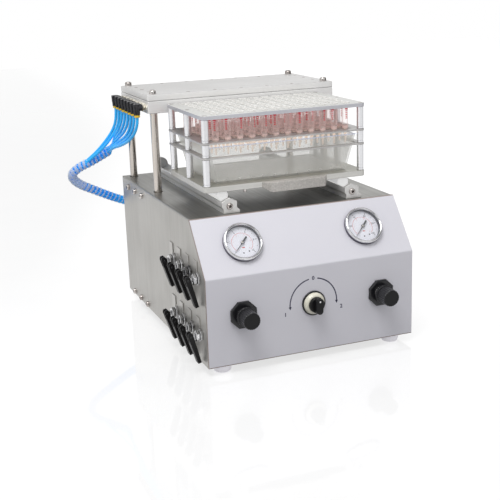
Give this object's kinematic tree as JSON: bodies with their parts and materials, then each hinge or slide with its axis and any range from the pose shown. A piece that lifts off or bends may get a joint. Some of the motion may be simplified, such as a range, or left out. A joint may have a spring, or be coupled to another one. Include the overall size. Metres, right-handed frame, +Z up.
{
  "type": "positive pressure extraction processor",
  "caption": "Bench processor that pushes gas through a rack of small extraction columns: steel case, sliding rack, lifting pressure head, two gauges, knobs and side toggle valves",
  "frame": {"origin": "on the bench under the middle of the whole outline without the air tubes", "axes": "+X is the user's right, +Y points from the front panel to the rear panel, +Z is up"},
  "size_m": [0.3404, 0.415, 0.3053],
  "materials": {
    "brushed_stainless": "brushed",
    "front_film": "satin",
    "grey_rubber": "matt",
    "steel_screws": "polished",
    "anodised_aluminium": "satin",
    "bronze": "satin",
    "polished_steel": "polished",
    "seal_grey": "matt",
    "fitting_black": "satin",
    "collar_yellow": "satin",
    "white_ptfe": "matt",
    "clear_tray": "clear",
    "column_plastic": "gloss",
    "needle_black": "matt",
    "dial_white": "matt",
    "window_glass": "clear",
    "knob_black": "matt",
    "ring_cream": "gloss",
    "black_rubber": "matt",
    "tube_blue": "gloss",
    "wrap_blue": "gloss"
  },
  "bodies": {
    "case": {"case_wrap": "brushed_stainless", "front_panel": "front_film", "rear_panel": "brushed_stainless", "floor_pan": "brushed_stainless", "rubber_feet": "grey_rubber", "case_screws": "steel_screws", "guide_rails": "anodised_aluminium", "rail_stops": "anodised_aluminium", "guide_plates": "anodised_aluminium", "guide_bushes": "bronze", "lift_cylinder": "anodised_aluminium", "gauge_cases": "steel_screws", "gauge_dials": "dial_white", "gauge_windows": "window_glass", "regulator_bodies": "anodised_aluminium", "regulator_nuts": "knob_black", "selector_collar": "knob_black", "selector_ring": "ring_cream", "switch_block": "knob_black", "valve_label_plates": "brushed_stainless", "valve_bodies": "bronze", "gas_inlet": "bronze", "tube_grommet": "black_rubber", "air_tubes": "tube_blue", "tube_wrap": "wrap_blue"},
    "head": {"lift_piston": "steel_screws", "lift_yoke": "anodised_aluminium", "guide_columns": "polished_steel", "manifold_block": "anodised_aluminium", "seal_pad": "seal_grey", "gasket_sheet": "seal_grey", "manifold_cover": "anodised_aluminium", "head_bolts": "steel_screws", "elbow_fittings": "fitting_black", "fitting_collars": "collar_yellow"},
    "rack": {"rack_base_plate": "brushed_stainless", "rack_handle": "anodised_aluminium", "slide_bars": "white_ptfe", "lower_posts": "polished_steel", "lower_shelf": "brushed_stainless", "waste_tray": "clear_tray"},
    "upper_rack": {"upper_posts": "polished_steel", "upper_shelf": "brushed_stainless", "rack_top_plate": "anodised_aluminium"},
    "columns": {"extraction_columns": "column_plastic"},
    "low_needle": {"low_gauge_needle": "needle_black"},
    "high_needle": {"high_gauge_needle": "needle_black"},
    "low_spindle": {"low_regulator_spindle": "polished_steel"},
    "high_spindle": {"high_regulator_spindle": "polished_steel"},
    "low_knob": {"low_regulator_knob": "knob_black"},
    "high_knob": {"high_regulator_knob": "knob_black"},
    "selector": {"selector_knob": "knob_black"},
    "valve_1": {"valve_lever_1": "knob_black"},
    "valve_2": {"valve_lever_2": "knob_black"},
    "valve_3": {"valve_lever_3": "knob_black"},
    "valve_4": {"valve_lever_4": "knob_black"},
    "valve_5": {"valve_lever_5": "knob_black"},
    "valve_6": {"valve_lever_6": "knob_black"},
    "valve_7": {"valve_lever_7": "knob_black"},
    "valve_8": {"valve_lever_8": "knob_black"}
  },
  "joints": [
    {"name": "head_lift", "type": "slide", "parent": "case", "child": "head", "axis": [0, 0, 1], "range_m": [0, 0.04]},
    {"name": "rack_slide", "type": "slide", "parent": "case", "child": "rack", "axis": [0, 1, 0], "range_m": [-0.017, 0]},
    {"name": "upper_rack_lift", "type": "slide", "parent": "rack", "child": "upper_rack", "axis": [0, 0, 1], "range_m": [0, 0.05]},
    {"name": "columns_lift", "type": "slide", "parent": "upper_rack", "child": "columns", "axis": [0, 0, 1], "range_m": [0, 0.055]},
    {"name": "low_needle_turn", "type": "hinge", "parent": "case", "child": "low_needle", "pos_m": [-0.06971, -0.13959, 0.14613], "axis": [0, 0.7815, -0.6239], "range_deg": [0, 270], "stiffness_Nm_per_rad": 0.0002},
    {"name": "low_regulator_turn", "type": "hinge", "parent": "case", "child": "low_spindle", "pos_m": [-0.08071, -0.17205, 0.0697], "axis": [0, -1, 0], "range_deg": [-400, 680]},
    {"name": "low_knob_pull", "type": "slide", "parent": "low_spindle", "child": "low_knob", "axis": [0, -1, 0], "range_m": [0, 0.003]},
    {"name": "high_needle_turn", "type": "hinge", "parent": "case", "child": "high_needle", "pos_m": [0.08509, -0.13959, 0.14613], "axis": [0, 0.7815, -0.6239], "range_deg": [0, 270], "stiffness_Nm_per_rad": 0.0002},
    {"name": "high_regulator_turn", "type": "hinge", "parent": "case", "child": "high_spindle", "pos_m": [0.09609, -0.17205, 0.0697], "axis": [0, -1, 0], "range_deg": [-400, 680]},
    {"name": "high_knob_pull", "type": "slide", "parent": "high_spindle", "child": "high_knob", "axis": [0, -1, 0], "range_m": [0, 0.003]},
    {"name": "selector_turn", "type": "hinge", "parent": "case", "child": "selector", "pos_m": [0.00769, -0.16405, 0.0697], "axis": [0, -1, 0], "range_deg": [-60, 60]},
    {"name": "valve_1_turn", "type": "hinge", "parent": "case", "child": "valve_1", "pos_m": [-0.13901, -0.14405, 0.113], "axis": [0, 1, 0], "range_deg": [0, 90]},
    {"name": "valve_2_turn", "type": "hinge", "parent": "case", "child": "valve_2", "pos_m": [-0.13901, -0.11405, 0.113], "axis": [0, 1, 0], "range_deg": [0, 90]},
    {"name": "valve_3_turn", "type": "hinge", "parent": "case", "child": "valve_3", "pos_m": [-0.13901, -0.08405, 0.113], "axis": [0, 1, 0], "range_deg": [0, 90]},
    {"name": "valve_4_turn", "type": "hinge", "parent": "case", "child": "valve_4", "pos_m": [-0.13901, -0.05405, 0.113], "axis": [0, 1, 0], "range_deg": [0, 90]},
    {"name": "valve_5_turn", "type": "hinge", "parent": "case", "child": "valve_5", "pos_m": [-0.13901, -0.14405, 0.0455], "axis": [0, 1, 0], "range_deg": [0, 90]},
    {"name": "valve_6_turn", "type": "hinge", "parent": "case", "child": "valve_6", "pos_m": [-0.13901, -0.11405, 0.0455], "axis": [0, 1, 0], "range_deg": [0, 90]},
    {"name": "valve_7_turn", "type": "hinge", "parent": "case", "child": "valve_7", "pos_m": [-0.13901, -0.08405, 0.0455], "axis": [0, 1, 0], "range_deg": [0, 90]},
    {"name": "valve_8_turn", "type": "hinge", "parent": "case", "child": "valve_8", "pos_m": [-0.13901, -0.05405, 0.0455], "axis": [0, 1, 0], "range_deg": [0, 90]}
  ]
}
